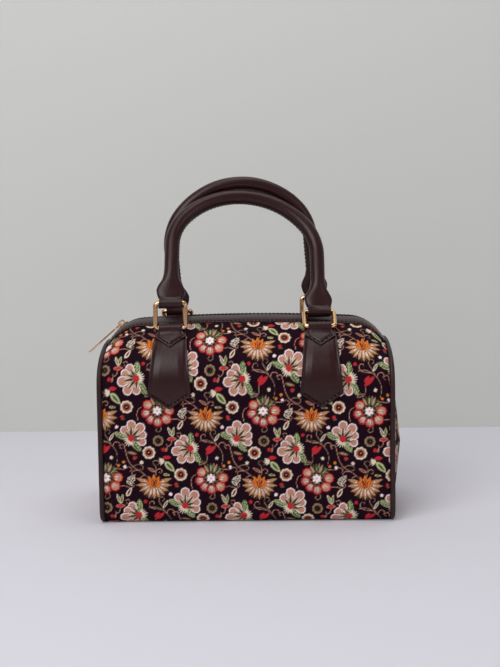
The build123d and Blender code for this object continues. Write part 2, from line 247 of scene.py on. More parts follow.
class Print:
    """Colour of the print at places on the cloth, in millimetres."""

    def __init__(self, u, v):
        self.u = u
        self.v = v
        self.rgb = np.empty(u.shape + (3,))
        self.rgb[:] = GROUND
        self.soft = 0.35

    def local(self, cu, cv, turn=0.0):
        """Places measured from the nearest repeat of a motif, turned about it."""
        row = np.round((self.v - cv) / ROW)
        y = self.v - cv - row * ROW
        x = self.u - cu - row * REPEAT / 2
        x = x - REPEAT * np.round(x / REPEAT)
        a = np.radians(turn)
        return x * np.cos(a) + y * np.sin(a), -x * np.sin(a) + y * np.cos(a)

    def lay(self, depth, colour):
        """Colour laid where depth, the distance inside a shape's edge, is positive."""
        share = np.clip(depth / self.soft + 0.5, 0, 1)[..., None]
        self.rgb = self.rgb * (1 - share) + colour * share

    def petals(self, cu, cv, count, outer, colour, turn=0.0, lobe=0.25):
        """A ring of petals about a centre, whose very middle stays half clear."""
        x, y = self.local(cu, cv, turn)
        r = np.hypot(x, y)
        t = np.degrees(np.arctan2(y, x))
        phase = np.abs(((t / (360.0 / count) + 0.5) % 1.0) - 0.5) * 2
        edge = outer * (1 - lobe * phase ** 2.2)
        self.lay(np.minimum(edge - r, r), colour)

    def disc(self, cu, cv, radius, colour):
        """A round spot."""
        x, y = self.local(cu, cv)
        self.lay(radius - np.hypot(x, y), colour)

    def leaf_shape(self, cu, cv, turn, start, length, width, point=0.72):
        """Places along and across a leaf, the share of its length, and its half width there."""
        x, y = self.local(cu, cv, turn)
        s = (x - start) / length
        return x, y, s, width / 2 * np.clip(4 * s * (1 - s), 0, 1) ** point * (1.2 - 0.4 * s)

    def leaf(self, cu, cv, turn, start, length, width, colour, point=0.72):
        """A pointed leaf or petal that leaves the motif's centre in a direction."""
        _, y, s, half = self.leaf_shape(cu, cv, turn, start, length, width, point)
        self.lay(np.where((s > 0) & (s < 1), half - np.abs(y), -1), colour)

    def tongue(self, cu, cv, turn, reach, radius, grow, colour):
        """A petal that widens from the heart to a round, slightly scalloped end."""
        x, y = self.local(cu, cv, turn)
        r = np.hypot(x - reach, y)
        t = np.arctan2(y, x - reach)
        end = radius + grow - 0.28 * np.abs(np.sin(3.5 * t)) - r
        share = np.clip(x / reach, 0, 1)
        neck = radius * share**0.8 + grow * np.clip(3 * share - 1.2, 0, 1) - np.abs(y)
        neck = np.where((x > 0) & (x < reach), neck, -1)
        self.lay(np.maximum(end, neck), colour)

    def ribs(self, cu, cv, turn, start, length, width, colour):
        """The mid rib and slanting veins of a leaf."""
        x, y, s, half = self.leaf_shape(cu, cv, turn, start, length, width)
        inside = (s > 0.08) & (s < 0.9)
        side = np.abs(((x - np.abs(y) * 1.2) / 2.6) % 1.0 - 0.5) * 2.6
        self.lay(np.where(inside, 0.3 - np.abs(y), -1), colour)
        self.lay(np.where(inside & (np.abs(y) < half), 0.34 - side, -1), colour)

    def stem(self, points, colour, width):
        """A stem along a smooth line through its points, thinner towards its end."""
        points = np.array(points)
        ends = np.concatenate([2 * points[:1] - points[1:2], points, 2 * points[-1:] - points[-2:-1]])
        line = []
        for k in range(len(points) - 1):
            a, b, c, d = ends[k:k + 4]
            for t in (0.0, 0.33, 0.67):
                line.append(0.5 * (2 * b + (c - a) * t + (2 * a - 5 * b + 4 * c - d) * t**2
                                   + (3 * b - a - 3 * c + d) * t**3))
        line.append(points[-1])
        depth = np.full(self.u.shape, -1.0)
        for k in range(len(line) - 1):
            (x0, y0), (x1, y1) = line[k], line[k + 1]
            x, y = self.local((x0 + x1) / 2, (y0 + y1) / 2, math.degrees(math.atan2(y1 - y0, x1 - x0)))
            away = np.hypot(np.maximum(np.abs(x) - math.hypot(x1 - x0, y1 - y0) / 2, 0), y)
            depth = np.maximum(depth, width / 2 * (1 - 0.35 * k / len(line)) - away)
        self.lay(depth, colour)


def fan_flower(c, cu, cv, turn):
    """Open flower seen from the side: broad pale-edged petals over a red heart, leaves behind."""
    for side, long in ((108, 15.0), (-108, 13.5)):
        c.leaf(cu, cv, turn + side, 1.5, long, 6.2, PALE)
        c.leaf(cu, cv, turn + side, 1.5, long, 4.9, GREEN)
        c.ribs(cu, cv, turn + side, 1.5, long, 4.3, PALE)
    for k in range(7):
        c.leaf(cu, cv, turn + 180 + (k - 3) * 17, 1.0, 7.4 - 0.5 * abs(k - 3), 1.3, CREAM)
    petals = ((74, 9.6, 3.1), (-71, 10.6, 3.0), (34, 12.6, 3.5), (-37, 11.0, 3.1), (-5, 13.2, 3.7))
    for a, reach, radius in petals:
        c.tongue(cu, cv, turn + a, reach, radius, 1.35, GROUND)
        c.tongue(cu, cv, turn + a, reach, radius, 0.95, BLUSH)
        c.tongue(cu, cv, turn + a, reach, radius, -0.05, BEIGE)
        c.leaf(cu, cv, turn + a + 9, 4.0, reach - 5.5, 0.9, CREAM)
        c.leaf(cu, cv, turn + a - 9, 4.0, reach - 5.5, 0.9, CREAM)
        c.leaf(cu, cv, turn + a, 1.5, reach * 0.72, 2.0, OLIVE)
        c.leaf(cu, cv, turn + a, 1.5, reach * 0.58, 1.1, DARKOLIVE)
    c.petals(cu, cv, 5, 3.0, RED, turn, 0.16)


def rosette(c, cu, cv):
    """Round flower with a scalloped red border, beige petals and a pale star at its heart."""
    for k in range(8):
        colour = (TAUPE, GREEN, OLIVE, TAUPE)[k % 4]
        c.leaf(cu, cv, 31 + k * 12, 4.0, 10.6 - 0.35 * abs(k - 4), 2.6, colour)
        c.leaf(cu, cv, 31 + k * 12, 6.0, 6.5, 0.6, PALE if k % 2 else GROUND)
    lobes = ((147, 10.0, 4.1), (193, 10.4, 4.0), (233, 9.8, 3.9))
    lobes += ((272, 10.2, 4.1), (318, 11.2, 4.3), (2, 11.0, 4.2))
    for turn, reach, radius in lobes:
        a = np.radians(turn)
        place = (cu + np.cos(a) * reach, cv + np.sin(a) * reach)
        c.petals(*place, 9, radius + 0.75, DARKRED, turn, 0.1)
        c.petals(*place, 9, radius + 0.45, RED, turn, 0.14)
        c.petals(*place, 9, radius - 0.45, ORANGE if turn in (147, 318, 2) else DARKRED, turn, 0.16)
        c.petals(*place, 7, radius - 0.85, ROSEBEIGE, turn, 0.14)
        c.leaf(cu, cv, turn + 3, reach - 3.0, 4.6, 1.0, CREAM)
        c.leaf(cu, cv, turn - 9, reach - 3.0, 4.0, 0.6, BLUSH)
    c.petals(cu, cv, 9, 7.0, OLIVE, 10, 0.2)
    c.petals(cu, cv, 9, 5.9, GROUND, 30, 0.3)
    c.petals(cu, cv, 9, 5.1, TAUPE, 10, 0.4)
    c.petals(cu, cv, 6, 4.5, GROUND, 30, 0.34)
    c.petals(cu, cv, 6, 4.2, BLUSH, 30, 0.42)
    c.disc(cu, cv, 0.7, TAUPE)


def lotus(c, cu, cv):
    """Lotus seen from the side: pointed beige petals with pale streaks round a flame of orange."""
    for k in range(10):
        c.leaf(cu, cv, 171 + k * 22, 1.0, 12.6, 2.8, OLIVE)
    for k in (0, 10, 1, 9, 2, 8, 3, 7, 4, 6, 5):
        turn = 161 + k * 21.8
        long = (17.0, 15.8, 14.6, 13.6, 13.4, 13.6)[min(k, 10 - k)]
        c.leaf(cu, cv, turn, 0.5, long + 0.6, 4.6, GROUND, 1.15)
        c.leaf(cu, cv, turn, 0.5, long, 4.0, LOTUS, 1.15)
        c.leaf(cu, cv, turn, 3.2, 7.0, 1.2, CREAM if k % 2 else BLUSH)
    for turn, long in ((136, 9.6), (44, 9.6), (114, 11.8), (66, 11.8), (90, 12.6)):
        c.leaf(cu, cv - 3.4, turn, 0.5, long + 0.4, 4.6, DARKRED, 1.0)
        c.leaf(cu, cv - 3.4, turn, 0.5, long, 4.0, ORANGE, 1.0)
        c.leaf(cu, cv - 3.4, turn, 1.5, long - 3.2, 0.9, RED)
    c.leaf(cu, cv - 3.2, 90, 0, 9.0, 4.0, DARKRED)
    c.leaf(cu, cv - 3.2, 90, 0.8, 7.8, 2.7, ORANGE)
    c.leaf(cu, cv - 3.2, 90, 1.4, 6.0, 1.3, DARKRED)


def floret(c, cu, cv, radius, rim, body, heart):
    """Small round flower with a scalloped rim."""
    c.petals(cu, cv, 9, radius, rim, 0, 0.13)
    c.petals(cu, cv, 9, radius * 0.72, body, 0, 0.1)
    c.petals(cu, cv, 9, radius * 0.47, heart, 0, 0.1)
    c.disc(cu, cv, radius * 0.08, rim)


# Stems are lines of points right of and above a round flower's heart, in millimetres. Each runs
# between two motifs or ends in a curl.
STEMS = (
    ((-57.4, -27.4), (-51.6, -26.8), (-45.9, -28.8), (-41.0, -32.6), (-37.8, -37.7), (-36.9, -43.4),
     (-38.2, -49.7)),
    ((-45.9, -28.8), (-52.8, -28.3), (-56.6, -25.7), (-55.9, -22.1), (-52.8, -21.7), (-52.4, -24.0)),
    ((-41.0, -32.6), (-39.6, -29.5), (-36.8, -28.6), (-34.4, -30.4), (-35.5, -32.3)),
    ((-42.5, -30.8), (-45.4, -25.7), (-47.9, -21.5), (-47.1, -18.1), (-44.2, -17.5), (-43.0, -19.8),
     (-44.7, -21.3)),
    ((-30.5, -32.2), (-29.0, -38.8), (-27.1, -45.7), (-23.1, -51.4), (-17.4, -54.8), (-12.2, -58.8),
     (-7.7, -62.8)),
    ((-30.5, -32.2), (-31.9, -30.8), (-34.2, -31.8), (-34.4, -33.9), (-32.8, -34.5)),
    ((-23.1, -51.4), (-20.2, -49.7), (-16.2, -49.5), (-13.7, -51.4), (-14.7, -54.2), (-16.7, -53.5)),
    ((-17.4, -54.8), (-21.4, -54.8), (-24.2, -56.8), (-23.1, -59.5), (-21.0, -58.5)),
    ((-12.2, -58.8), (-15.4, -60.6), (-17.1, -62.8), (-15.4, -64.7)),
    ((-2.5, -59.4), (-1.9, -54.8), (-2.5, -50.6), (-4.8, -48.0), (-3.9, -45.9), (-0.7, -45.7),
     (0.9, -48.0), (-0.5, -49.6)),
    ((-1.9, -54.8), (0.9, -53.1), (3.4, -54.5), (2.6, -56.8), (0.9, -56.3)),
    ((-17.4, -9.1), (-18.4, -3.4), (-16.8, 1.5), (-13.9, 3.2)),
    ((2.6, -13.9), (3.3, -17.4), (0.5, -19.3), (-1.5, -17.4), (-0.1, -15.9)),
    ((17.5, -20.8), (20.2, -19.9), (21.3, -22.3), (19.5, -24.0), (18.1, -22.6)),
    ((11.8, -8.0), (17.5, -7.4), (23.2, -9.1), (26.0, -6.3), (24.3, -4.0), (23.0, -5.3)),
    ((-51.6, -39.4), (-51.3, -44.6), (-53.4, -48.6), (-56.2, -46.8), (-55.4, -45.1)),
    ((7.2, 9.1), (16.3, 8.0), (20.9, 10.3), (23.8, 8.0), (22.1, 5.7)),
    ((12.9, -26.8), (11.8, -30.8), (9.3, -32.6), (7.9, -30.8)),
)
# Loose leaves: foot, direction, length, width, colour, vein.
SPRAYS = (
    (-44.2, -27.6, 57, 8.7, 2.6, CREAM, OLIVE),
    (-2.5, -56.2, 151, 8.5, 2.6, BEIGE, DARKRED),
    (18.6, -2.5, -40, 7.2, 2.6, CREAM, GROUND),
    (19.2, -1.4, 27, 8.5, 2.6, CREAM, GROUND),
    (13.5, -23.8, 115, 10.1, 2.8, CREAM, OLIVE),
    (13.5, -23.8, 81, 9.3, 2.8, PALE, OLIVE),
    (8.6, -26.0, 4, 8.7, 3.6, BEIGE, None),
    (9.5, -26.0, 5, 6.8, 2.6, RED, None),
    (18.6, -16.9, 61, 9.1, 4.0, CREAM, DARKRED),
    (-52.0, -39.4, 40, 11.7, 4.2, RED, None),
    (-52.2, -36.6, 49, 6.9, 3.0, RED, None),
    (4.3, -43.0, 4, 7.5, 3.6, RED, None),
    (6.1, -46.4, -47, 12.4, 5.6, PALE, GREEN),
    (-28.4, -37.7, -12, 10.0, 3.4, OLIVE, BEIGE),
    (7.2, -37.7, 75, 5.3, 1.8, TAUPE, None),
    (-32.8, -8.0, 7, 4.0, 1.6, GREEN, None),
    (-21.9, -45.1, 46, 4.3, 1.6, GREEN, None),
    (-59.1, -49.1, 24, 6.9, 2.6, TAUPE, GROUND),
    (4.3, -58.3, -5, 6.3, 2.2, PALE, OLIVE),
    (-27.1, -62.3, -14, 6.2, 2.6, CREAM, GROUND),
    (-25.9, -67.4, 55, 8.3, 2.4, CREAM, GROUND),
)
# Buds: place, radius, colour.
BUDS = (
    (-37.1, -14.9, 1.7, BLUSH),
    (-31.9, -5.7, 1.9, RED),
    (-21.4, -43.2, 1.8, RED),
    (5.0, -35.4, 2.0, RED),
    (-42.4, -43.0, 1.7, CREAM),
    (-15.1, -47.5, 1.8, CREAM),
    (-31.4, -47.1, 1.5, ORANGE),
    (17.5, 10.3, 1.6, BLUSH),
    (11.8, 11.4, 1.4, ORANGE),
    (-60.2, -21.7, 1.8, RED),
)


def printed(u, v):
    """The print's colour at places on the cloth."""
    c = Print(u, v)
    for k, points in enumerate(STEMS):
        c.stem(points, BEIGE if k % 3 else TAUPE, 0.72)
    for x, y, turn, length, width, colour, vein in SPRAYS:
        c.leaf(x, y, turn, 0, length, width, colour)
        if vein is not None:
            c.leaf(x, y, turn, 0.16 * length, 0.7 * length, 0.42 * width, vein)
    for x, y, radius, colour in BUDS:
        c.petals(x, y, 5, radius, colour, 20, 0.35)
    for k in range(5):
        c.leaf(6.1, -45.5, 158 + k * 17, 0.5, 5.4, 1.5, CREAM)
    rosette(c, 0, 0)
    lotus(c, -4.2, -67.5)
    fan_flower(c, -24.2, -25.4, 54)
    fan_flower(c, 29.6, -34.3, 196)
    floret(c, -27.6, 3.4, 6.0, CREAM, TERRA, MAROON)
    floret(c, -8.2, -38.3, 6.0, CREAM, TERRA, MAROON)
    floret(c, 0.4, -27.4, 5.0, TAUPE, OLIVE, GROUND)
    return c.rgb


# %% [markdown]
# Printed cotton: matt, with a woven surface. The colour comes from the cloth's own painted
# attribute, and the threads are drawn a little coarser than the real half millimetre so that they
# show.

# %% Printed cloth
cloth, shader = new_material("printed cotton canvas")
paint = add_node(cloth, "ShaderNodeAttribute", {"attribute_name": "print"})
place = add_node(cloth, "ShaderNodeTexCoord").outputs["Object"]
fuzz = add_node(cloth, "ShaderNodeTexNoise", Vector=place, Scale=900.0, Detail=2.0)
fade = add_node(cloth, "ShaderNodeMapRange", Value=fuzz.outputs["Fac"])
fade.inputs["To Min"].default_value = 0.82
fade.inputs["To Max"].default_value = 1.18
shade = add_node(cloth, "ShaderNodeMix", {"data_type": "RGBA", "blend_type": "MULTIPLY"})
shade.inputs[0].default_value = 1.0
plug(cloth, paint.outputs["Color"], shade.inputs[6])
plug(cloth, fade.outputs[0], shade.inputs[7])
plug(cloth, shade.outputs[2], shader.inputs["Base Color"])
warp = add_node(cloth, "ShaderNodeTexWave", {"bands_direction": "X"}, Vector=place, Scale=260.0)
weft = add_node(cloth, "ShaderNodeTexWave", {"bands_direction": "Z"}, Vector=place, Scale=260.0)
weave = add_node(cloth, "ShaderNodeMath", {"operation": "MULTIPLY"})
plug(cloth, warp.outputs["Fac"], weave.inputs[0])
plug(cloth, weft.outputs["Fac"], weave.inputs[1])
bump = add_node(cloth, "ShaderNodeBump", Strength=0.35, Distance=0.0003, Height=weave.outputs[0])
plug(cloth, bump.outputs[0], shader.inputs["Normal"])
shader.inputs["Roughness"].default_value = 0.9
shader.inputs["Specular IOR Level"].default_value = 0.12


# %% [markdown]
# A cloth wall starts as a flat grid, as cloth does. Each point is then laid on the body's form:
# across the grid along the bag, and up the grid by length of cloth from the base seam round the
# shoulder to the strip beside the zip. Near the seams the cloth is drawn in and slightly puckered.

# %% Laying cloth on the form
def grid_piece(name, across, up):
    """A flat grid with a known number of points, as an object at the origin."""
    bpy.ops.object.select_all(action="DESELECT")
    bpy.ops.mesh.primitive_grid_add(x_subdivisions=across - 1, y_subdivisions=up - 1, size=2)
    piece = bpy.context.object
    piece.name = name
    piece.data.name = name
    return piece


def grid_places(piece):
    """Each point's share of the way across and up its grid."""
    co = np.empty(len(piece.data.vertices) * 3, np.float32)
    piece.data.vertices.foreach_get("co", co)
    co = co.reshape(-1, 3).astype(float)
    return (co[:, 0] + 1) / 2, (co[:, 1] + 1) / 2


def set_places(piece, places):
    """Move every point of a piece, in millimetres."""
    piece.data.vertices.foreach_set("co", (places * MM).astype(np.float32).ravel())
    piece.data.update()


def set_print(piece, colours):
    """Paint a piece's points with sRGB colours."""
    c = np.clip(colours, 0, 1)
    c = np.where(c <= 0.04045, c / 12.92, ((c + 0.055) / 1.055) ** 2.4)
    rgba = np.ones((len(c), 4), np.float32)
    rgba[:, :3] = c
    paint = piece.data.color_attributes.new("print", "FLOAT_COLOR", "POINT")
    paint.data.foreach_set("color", rgba.ravel())


def hem(piece, depth):
    """Turn the open rim of a piece inwards, so that its edge has a thickness."""
    bpy.ops.object.mode_set(mode="EDIT")
    bpy.ops.mesh.select_all(action="DESELECT")
    bpy.ops.mesh.select_mode(type="EDGE")
    bpy.ops.mesh.select_non_manifold(extend=False)
    bpy.ops.mesh.extrude_edges_move()
    bpy.ops.object.mode_set(mode="OBJECT")
    mesh = piece.data
    for vertex in mesh.vertices:
        if vertex.select:
            centre = Vector((vertex.co.x * 0.9, 0, max(min(vertex.co.z, 0.12), 0.02)))
            vertex.co += (centre - vertex.co).normalized() * depth * MM


WALL_STEP = 0.78
SKEW = 0.014
STRIP_EDGE = 27.0
CLOTH_LENGTH = 205.0
PRINT_HEIGHT = 103.3
CROWN_STRETCH = 0.1


def wall_cloth(name, node, side, phase_u, phase_v, step):
    """The printed cloth of a long wall: side -1 is the front, +1 the rear."""
    across = int(2 * HALF_LENGTH / step) + 1
    up = int(CLOTH_LENGTH / step) + 1
    piece = grid_piece(name, across, up)
    s, t = grid_places(piece)
    x = (s * 2 - 1) * HALF_LENGTH
    columns = np.round(s * (across - 1)).astype(int)
    y, z, length, ny, nz = np.empty((5, len(s)))
    for column in range(across):
        place = (column / (across - 1) * 2 - 1) * HALF_LENGTH
        line = section_line(place)
        run = np.concatenate([[0], np.cumsum(np.hypot(*np.diff(line, axis=0).T))])
        stop = np.interp(STRIP_EDGE, -line[::-1, 0][: len(line)], run[::-1])
        at_wall = np.interp(PRINT_HEIGHT, line[:, 1], run)
        chosen = np.where(columns == column)[0]
        d = t[chosen] * stop
        y[chosen] = np.interp(d, run, line[:, 0])
        z[chosen] = np.interp(d, run, line[:, 1])
        ahead = np.minimum(d + 0.5, run[-1])
        back = np.maximum(d - 0.5, 0)
        ty = np.interp(ahead, run, line[:, 0]) - np.interp(back, run, line[:, 0])
        tz = np.interp(ahead, run, line[:, 1]) - np.interp(back, run, line[:, 1])
        norm = np.hypot(ty, tz)
        ny[chosen] = -tz / norm
        nz[chosen] = ty / norm
        length[chosen] = d - at_wall
    edge = HALF_LENGTH - np.abs(x)
    pucker = np.sin(length / 14 * 2 * math.pi + 0.6 * np.sin(length / 9)) * np.exp(-edge / 9)
    slack = np.sin(x / 37 + 1.3) * np.sin(length / 29 + 0.4) + 0.6 * np.sin(x / 19 + length / 23)
    lift = 0.30 * pucker + 0.22 * slack - 0.55 * np.exp(-edge / 2.2) - 0.1
    y = y + ny * lift
    z = z + nz * lift
    points = np.stack([x, y, z], 1)
    if side > 0:
        points[:, 0] *= -1
        points[:, 1] *= -1
    set_places(piece, points)
    across_cloth = x - phase_u
    up_cloth = length - phase_v + SKEW * across_cloth - CROWN_STRETCH * np.maximum(length - 10, 0)
    set_print(piece, printed(across_cloth, up_cloth))
    hem(piece, 1.6)
    piece.data.materials.append(cloth)
    bpy.ops.object.shade_smooth()
    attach(piece, "root")
    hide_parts(node)


wall_cloth("front_cloth", "front_panel", -1, 15.6, -1.4, WALL_STEP)
wall_cloth("rear_cloth", "rear_panel", 1, 40.0, 12.0, 1.0)


# %% [markdown]
# The end panels are flat cloth with a little fullness, held round their edge by the piping.

# %% End panels and base
def end_cloth(name, node, side):
    """An end panel: a grid fitted inside the piping's outline, swelling outwards."""
    across = 121
    up = 161
    piece = grid_piece(name, across, up)
    s, t = grid_places(piece)
    place = HALF_LENGTH + 2.3
    line = section_line(place, -2.0)
    line = line[line[:, 1] >= 0]
    line[:, 1] = np.maximum(line[:, 1], 0) + 2.6 * (1 - np.clip(line[:, 1] / 40, 0, 1))
    crown = line[-1, 1]
    low = line[0, 1]
    z = low + (crown - low) * t
    order = np.argsort(line[:, 1])
    # The width of the panel at a height; towards the crown the grid closes to the round top.
    width = np.interp(z, line[order, 1], -line[order, 0])
    angle = (s * 2 - 1)
    y = angle * width
    full = np.interp(z, (4, 30, 66, 95, 130, 150, 186), (0.0, 9.0, 13.5, 10.0, 5.2, 2.2, 0.0))
    full = full * (1.0 if side > 0 else 0.62)
    clear = 1 / (1 + np.exp((np.abs(y) - 19.5) / 1.4)) * np.clip((z - 76) / 18, 0, 1)
    swell = full * (1 - np.abs(angle) ** 2.4) * (1 - clear) + 0.15
    x = place - 0.3 + swell
    points = np.stack([side * x, side * y, z], 1)
    set_places(piece, points)
    set_print(piece, printed(y - 20.0 * side, z - PRINT_HEIGHT + 15.0))
    piece.data.materials.append(cloth)
    bpy.ops.object.shade_smooth()
    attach(piece, "root")
    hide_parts(node)


end_cloth("left_end_cloth", "left_end_panel", -1)
end_cloth("right_end_cloth", "right_end_panel", 1)

base = grid_piece("base_cloth", 130, 60)
s, t = grid_places(base)
set_places(base, np.stack([(s * 2 - 1) * 130.0, (t * 2 - 1) * 58.5, 0.5 + 0 * s], 1))
set_print(base, printed((s * 2 - 1) * 130.0, (t * 2 - 1) * 58.5))
bpy.ops.object.mode_set(mode="EDIT")
bpy.ops.mesh.select_all(action="SELECT")
bpy.ops.mesh.flip_normals()
bpy.ops.object.mode_set(mode="OBJECT")
base.data.materials.append(cloth)
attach(base, "root")
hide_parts("base_panel")


# %% [markdown]
# The leather lies on the cloth in flat strips, so it needs the place of the body's surface under any
# point of the front view, and under any point of the plan.

# %% Points on the body's surface
def wall_depth(x, z, offset):
    """Depth (y, negative in front) of the surface at a height, for arrays of places."""
    out = np.empty(len(x))
    for k in range(len(x)):
        half, shoulder, side, centre, radius, top, tangent = section_at(x[k], offset)
        low = z[k] - shoulder
        if low <= 0:
            out[k] = half
        elif low <= side * math.sin(tangent):
            out[k] = centre + math.sqrt(side**2 - low**2)
        else:
            out[k] = math.sqrt(max(radius**2 - (low - top) ** 2, 0.0))
    return -out


def top_height(x, y, offset):
    """Height of the surface over places near the crest."""
    out = np.empty(len(x))
    for k in range(len(x)):
        _, shoulder, _, _, radius, top, _ = section_at(x[k], offset)
        out[k] = shoulder + top + math.sqrt(radius**2 - y[k] ** 2)
    return out


def apply_modifier(piece, kind, **settings):
    """Add one modifier to a piece and apply it."""
    bpy.ops.object.select_all(action="DESELECT")
    bpy.context.view_layer.objects.active = piece
    piece.select_set(True)
    modifier = piece.modifiers.new(kind.title(), kind)
    for key, value in settings.items():
        setattr(modifier, key, value)
    bpy.ops.object.modifier_apply(modifier=modifier.name)


def finish_leather(piece, material, thickness, edge, body="root"):
    """Give a strip of leather its thickness and rounded edges, and let it ride on its body."""
    apply_modifier(piece, "SOLIDIFY", thickness=thickness * MM, offset=0.0)
    apply_modifier(piece, "BEVEL", width=edge * MM, segments=2, limit_method="ANGLE",
                   angle_limit=math.radians(60))
    piece.data.materials.clear()
    piece.data.materials.append(material)
    bpy.ops.object.shade_smooth()
    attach(piece, body)


def close_tube(capped):
    """Join the edges of the selected grid, wrapped into a tube, and cap its ends if they are open."""
    bpy.ops.object.mode_set(mode="EDIT")
    bpy.ops.mesh.select_all(action="SELECT")
    bpy.ops.mesh.remove_doubles(threshold=0.00002)
    if capped:
        bpy.ops.mesh.fill_holes(sides=0)
        bpy.ops.mesh.select_all(action="SELECT")
    bpy.ops.mesh.normals_make_consistent(inside=False)
    bpy.ops.object.mode_set(mode="OBJECT")


def half_turned(points):
    """Points on the other side of the bag, turned half round the upright axis."""
    return points * np.array([-1.0, -1.0, 1.0])


# %% [markdown]
# Stitches: one small spindle of thread is modelled, and copies of it lie end to end along a line,
# each turned to follow the line and sunk half into the leather.

# %% Stitches
thread, shader = new_material("waxed polyester thread")
shader.inputs["Base Color"].default_value = linear("060304")
shader.inputs["Specular IOR Level"].default_value = 0.15
shader.inputs["Roughness"].default_value = 0.6
STITCH = 2.9
STITCH_GAP = 0.9
THREAD = 0.5


def stitch_rows(name, rows, body="root"):
    """One object with the stitches along several lines of points, in millimetres."""
    bpy.ops.object.select_all(action="DESELECT")
    bpy.ops.mesh.primitive_uv_sphere_add(segments=8, ring_count=6, radius=1.0)
    piece = bpy.context.object
    piece.name = name
    piece.data.name = name
    bead = np.array([v.co for v in piece.data.vertices])
    faces = [tuple(f.vertices) for f in piece.data.polygons]
    places = []
    skins = []
    for row in rows:
        row = np.asarray(row)
        run = np.concatenate([[0], np.cumsum(np.linalg.norm(np.diff(row, axis=0), axis=1))])
        count = max(int(run[-1] / (STITCH + STITCH_GAP)), 1)
        for k in range(count):
            a, b = (k + 0.15) * run[-1] / count, (k + 0.88) * run[-1] / count
            first = np.array([np.interp(a, run, row[:, i]) for i in range(3)])
            last = np.array([np.interp(b, run, row[:, i]) for i in range(3)])
            along = (last - first) / np.linalg.norm(last - first)
            other = np.cross(along, (0.31, 0.87, 0.37))
            other /= np.linalg.norm(other)
            third = np.cross(along, other)
            size = np.linalg.norm(last - first) / 2
            body_points = (first + last) / 2 + bead[:, 2:3] * along * size
            body_points = body_points + (bead[:, 0:1] * other + bead[:, 1:2] * third) * THREAD
            skins += [tuple(i + len(places) * len(bead) for i in f) for f in faces]
            places.append(body_points)
    mesh = bpy.data.meshes.new(name)
    mesh.from_pydata((np.concatenate(places) * MM).tolist(), [], skins)
    piece.data = mesh
    mesh.materials.append(thread)
    bpy.ops.object.shade_smooth()
    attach(piece, body)
    return piece


# %% [markdown]
# A strip of leather runs along each side of the zip, from end to end of the crest. Its edges are
# turned and sewn close to the rim.

# %% Leather strips beside the zip
STRIP_INNER = 7.0
STRIP_OUTER = 28.0
STRIP_RISE = 1.15


def top_strip(name, node, turned):
    piece = grid_piece(name, 190, 26)
    s, t = grid_places(piece)
    x = (s * 2 - 1) * HALF_LENGTH
    y = -(STRIP_INNER + (STRIP_OUTER - STRIP_INNER) * t)
    rim = np.minimum(t, 1 - t) * (STRIP_OUTER - STRIP_INNER)
    groove = -0.4 * np.exp(-((rim - 2.0) / 0.65) ** 2)
    puff = 0.35 * np.clip((rim - 2.6) / 4, 0, 1) * np.clip((HALF_LENGTH - np.abs(x)) / 6, 0, 1)
    ripple = 0.12 * np.sin(x / 11 + 2 * t) * np.sin(x / 29 + 1)
    z = top_height(x, y, 0.0) + STRIP_RISE - 0.6 + groove + puff + ripple
    points = np.stack([x, y, z], 1)
    set_places(piece, half_turned(points) if turned else points)
    finish_leather(piece, leather, 1.2, 0.35)
    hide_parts(node)
    rows = []
    for inset in (STRIP_INNER + 2.0, STRIP_OUTER - 2.0):
        xs = np.linspace(-HALF_LENGTH + 1, HALF_LENGTH - 1, 400)
        ys = np.full(400, -inset)
        row = np.stack([xs, ys, top_height(xs, ys, 0.0) + STRIP_RISE - 0.05], 1)
        rows.append(half_turned(row) if turned else row)
    stitch_rows(name + "_stitches", rows)


top_strip("front_top_leather", "front_top_strip", False)
top_strip("rear_top_leather", "rear_top_strip", True)

# %% [markdown]
# The zip's tapes lie just under the strips, one each side of the teeth.

# %% Zip tapes
def zip_tape(name, node, turned):
    piece = grid_piece(name, 200, 8)
    s, t = grid_places(piece)
    x = (s * 2 - 1) * HALF_LENGTH
    y = -(2.4 + 5.4 * t)
    z = top_height(x, y, 0.0) - 1.4 + 0.12 * np.cos(t * 5 * math.pi)
    points = np.stack([x, y, z], 1)
    set_places(piece, half_turned(points) if turned else points)
    finish_leather(piece, tape_cloth, 1.0, 0.2)
    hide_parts(node)


zip_tape("front_tape_cloth", "front_zip_tape", False)
zip_tape("rear_tape_cloth", "rear_zip_tape", True)

# %% [markdown]
# Piping goes all the way round each end: leather sewn over a cord, with small creases across it
# where it turns a corner. A grid is wrapped into a closed tube along the same outline as the CAD.

# %% Piping
PIPING_PLACE = HALF_LENGTH + 2.3
PIPING_RADIUS = 2.3


